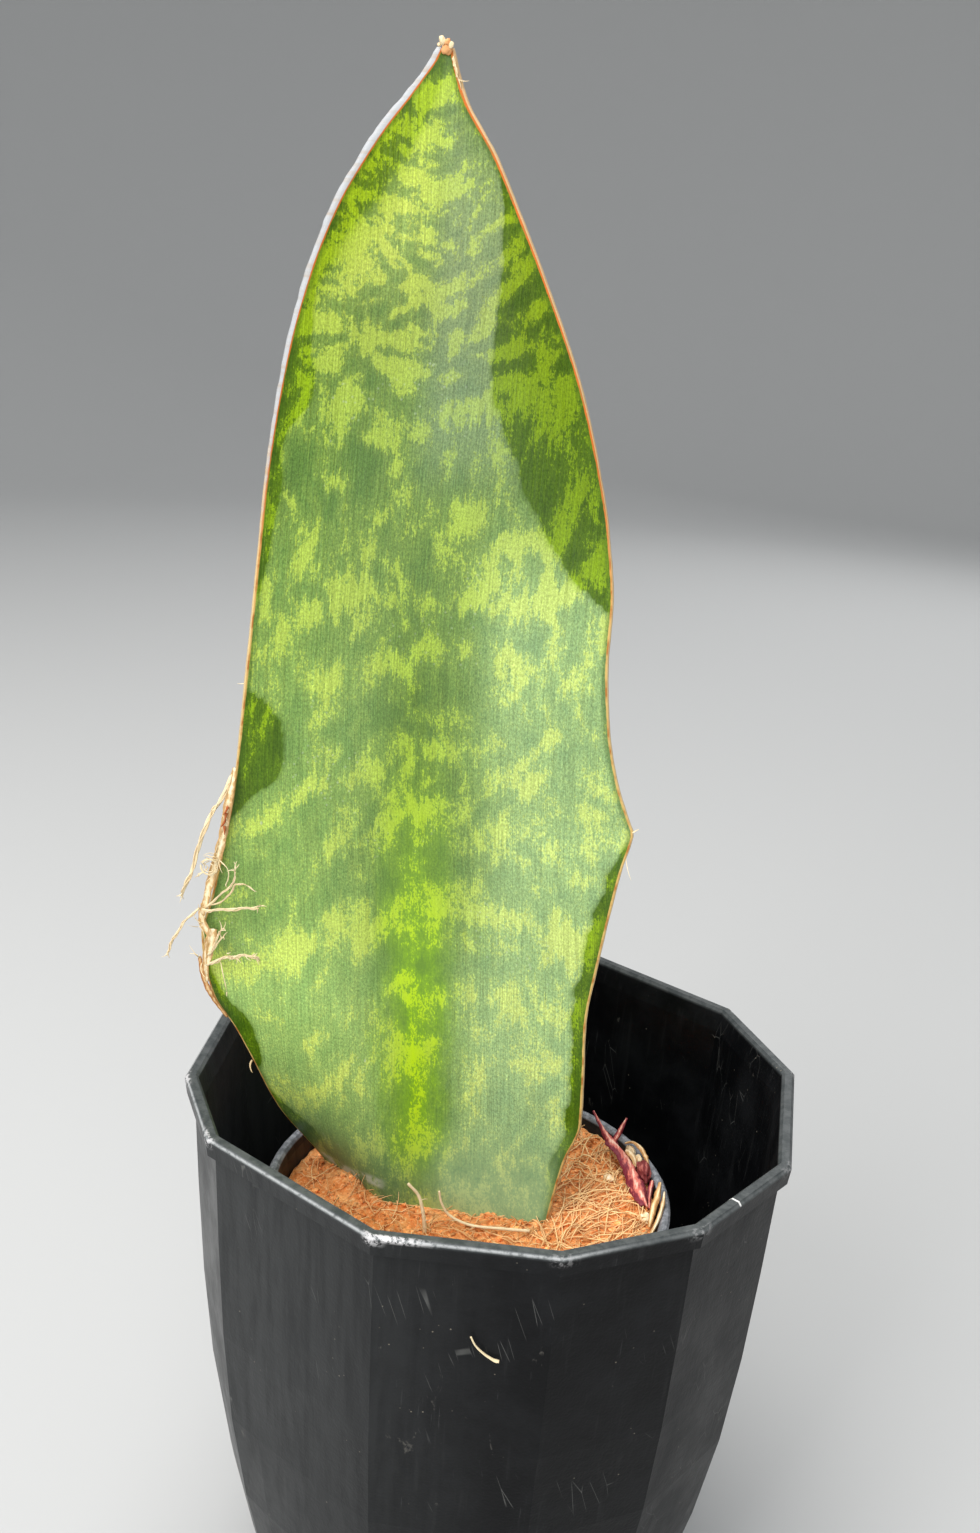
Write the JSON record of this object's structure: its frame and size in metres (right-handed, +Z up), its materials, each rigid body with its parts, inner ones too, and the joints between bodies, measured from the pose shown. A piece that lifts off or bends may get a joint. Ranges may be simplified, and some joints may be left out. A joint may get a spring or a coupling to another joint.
{
  "type": "potted snake plant",
  "caption": "Broad whale-fin snake plant leaf rooted in a coir-filled round nursery cup that stands inside a larger faceted black plastic pot.",
  "frame": {"origin": "centre of the outer pot's flat underside, on the surface that the plant stands on", "axes": "+Z up along the outer pot's axis, +X to the plant's right seen from the front, +Y away from the front, so the leaf's channelled face looks along -Y"},
  "size_m": [0.1558, 0.1495, 0.3815],
  "materials": {
    "black_plastic": "satin injection-moulded polypropylene, dusty and scuffed",
    "cup_plastic": "thin satin black plastic with a worn grey rim",
    "coir": "crumbly orange-brown coconut coir with loose fibres",
    "leaf": "waxy living leaf, dark green mottled with lime, thin orange-brown margin",
    "rhizome_skin": "ringed fleshy stem skin",
    "root_skin": "pale fleshy root skin",
    "dry_sheath": "papery dried sheath, pink to dark red",
    "dark_husk": "dark red husk",
    "beige_husk": "dry beige husk",
    "dry_fibre": "dry straw-coloured plant fibre"
  },
  "bodies": {
    "root": {"outer_pot": "black_plastic", "nursery_cup": "cup_plastic", "coir_medium": "coir", "leaf": "leaf", "rhizome": "rhizome_skin", "root_1": "root_skin", "root_2": "root_skin", "root_3": "root_skin", "root_4": "root_skin", "root_5": "root_skin", "dry_sheath": "dry_sheath", "sheath_fork": "dry_sheath", "husk_chunk": "dark_husk", "husk_chip_1": "beige_husk", "husk_chip_2": "beige_husk", "husk_chip_3": "beige_husk", "husk_chip_4": "beige_husk", "husk_strip": "beige_husk", "coir_fibre_1": "dry_fibre", "coir_fibre_2": "dry_fibre", "margin_strand_1": "dry_fibre", "margin_strand_2": "dry_fibre", "margin_strand_3": "dry_fibre", "margin_strand_4": "dry_fibre", "root_fragment": "dry_fibre"}
  },
  "joints": []
}
